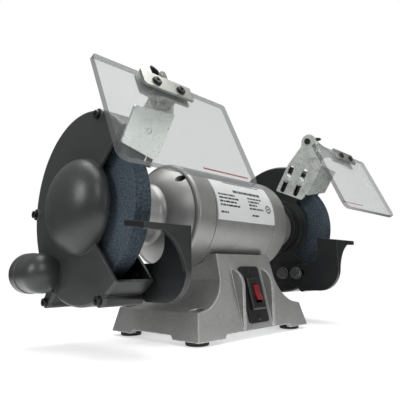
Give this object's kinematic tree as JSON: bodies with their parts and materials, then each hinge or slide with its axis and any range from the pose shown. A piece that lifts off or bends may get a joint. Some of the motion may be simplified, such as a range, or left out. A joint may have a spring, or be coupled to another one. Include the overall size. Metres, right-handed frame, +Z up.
{
  "type": "bench grinder",
  "caption": "Bench grinder: motor on a cast pedestal with a guarded abrasive wheel, tool rest, spark arrester and clear tilting eye shield at each end of its spindle.",
  "frame": {"origin": "on the floor at the centre of the four bench bolt holes, under the middle of the motor", "axes": "+X along the spindle to the operator's right, operator at -Y, +Z up"},
  "size_m": [0.4934, 0.25, 0.2773],
  "materials": {
    "base_paint": "satin, fine cast texture",
    "motor_paint": "satin",
    "guard_paint": "semi-matt",
    "guard_black": "semi-matt",
    "rest_black": "semi-matt, fine cast texture",
    "abrasive": "coarse grain",
    "zinc": "bright zinc plate",
    "black_steel": "black oxide",
    "dark_steel": "dark plated",
    "plain_steel": "machined",
    "cast_alloy": "as cast",
    "copper": "varnished wire",
    "clear_plastic": "clear, polished",
    "black_plastic": "moulded",
    "red_plastic": "moulded",
    "grey_plastic": "moulded",
    "can_plastic": "moulded",
    "label_metal": "satin foil",
    "foot_rubber": "matt",
    "paper": "matt"
  },
  "bodies": {
    "frame": {"base_casting": "base_paint", "motor_shell": "motor_paint", "left_end_bell": "motor_paint", "right_end_bell": "motor_paint", "left_outer_cover": "guard_paint", "right_outer_cover": "guard_paint", "left_inner_guard": "guard_black", "right_inner_guard": "guard_black", "bracket_bolts": "zinc", "capacitor_clip": "zinc", "cover_screws": "black_steel", "guard_screws": "black_steel", "switch_screws": "black_steel", "tie_bolts": "black_steel", "bottom_plate_screws": "black_steel", "motor_screws": "black_steel", "rest_bolts": "dark_steel", "stator_core": "plain_steel", "wave_washer": "plain_steel", "bottom_plate": "plain_steel", "left_bearing": "plain_steel", "right_bearing": "plain_steel", "stator_windings": "copper", "switch_plate": "black_plastic", "switch_body": "black_plastic", "terminal_block": "black_plastic", "cord_gland": "black_plastic", "run_capacitor": "can_plastic", "label_plate": "label_metal", "rubber_feet": "foot_rubber"},
    "spindle": {"shaft": "plain_steel", "rotor_core": "plain_steel", "rotor_end_rings": "cast_alloy", "wheel_bushings": "grey_plastic", "wheel_blotters": "paper", "left_inner_flange": "plain_steel", "right_inner_flange": "plain_steel", "left_wheel": "abrasive", "right_wheel": "abrasive", "left_outer_flange": "plain_steel", "right_outer_flange": "plain_steel", "left_spindle_nut": "plain_steel", "right_spindle_nut": "plain_steel"},
    "rocker": {"switch_rocker": "red_plastic"},
    "left_rest": {"left_tool_rest": "rest_black"},
    "left_bracket": {"left_spark_bracket": "zinc", "left_guide_bolt": "zinc", "left_wing_knob": "black_plastic"},
    "left_shield": {"left_shield_arm": "zinc", "left_lens_clamp": "zinc", "left_shield_lens": "clear_plastic", "left_clamp_screws": "black_steel"},
    "right_rest": {"right_tool_rest": "rest_black"},
    "right_bracket": {"right_spark_bracket": "zinc", "right_guide_bolt": "zinc", "right_wing_knob": "black_plastic"},
    "right_shield": {"right_shield_arm": "zinc", "right_lens_clamp": "zinc", "right_shield_lens": "clear_plastic", "right_clamp_screws": "black_steel"}
  },
  "joints": [
    {"name": "spindle_spin", "type": "hinge", "parent": "frame", "child": "spindle", "pos_m": [0, 0, 0.1404], "axis": [1, 0, 0], "continuous": true},
    {"name": "switch_press", "type": "hinge", "parent": "frame", "child": "rocker", "pos_m": [0, -0.06829, 0.04862], "axis": [1, 0, 0], "range_deg": [0, 16]},
    {"name": "left_rest_slide", "type": "slide", "parent": "frame", "child": "left_rest", "axis": [0, 1, 0], "range_m": [-0.008, 0.0015]},
    {"name": "left_bracket_slide", "type": "slide", "parent": "frame", "child": "left_bracket", "axis": [0, -0.5, 0.866], "range_m": [-0.0015, 0.015]},
    {"name": "left_shield_tilt", "type": "hinge", "parent": "left_bracket", "child": "left_shield", "pos_m": [-0.148, -0.067, 0.2664], "axis": [1, 0, 0], "range_deg": [-28, 6]},
    {"name": "right_rest_slide", "type": "slide", "parent": "frame", "child": "right_rest", "axis": [0, 1, 0], "range_m": [-0.008, 0.0015]},
    {"name": "right_bracket_slide", "type": "slide", "parent": "frame", "child": "right_bracket", "axis": [0, -0.5, 0.866], "range_m": [-0.0015, 0.015]},
    {"name": "right_shield_tilt", "type": "hinge", "parent": "right_bracket", "child": "right_shield", "pos_m": [0.148, -0.067, 0.2664], "axis": [1, 0, 0], "range_deg": [-28, 6]}
  ]
}
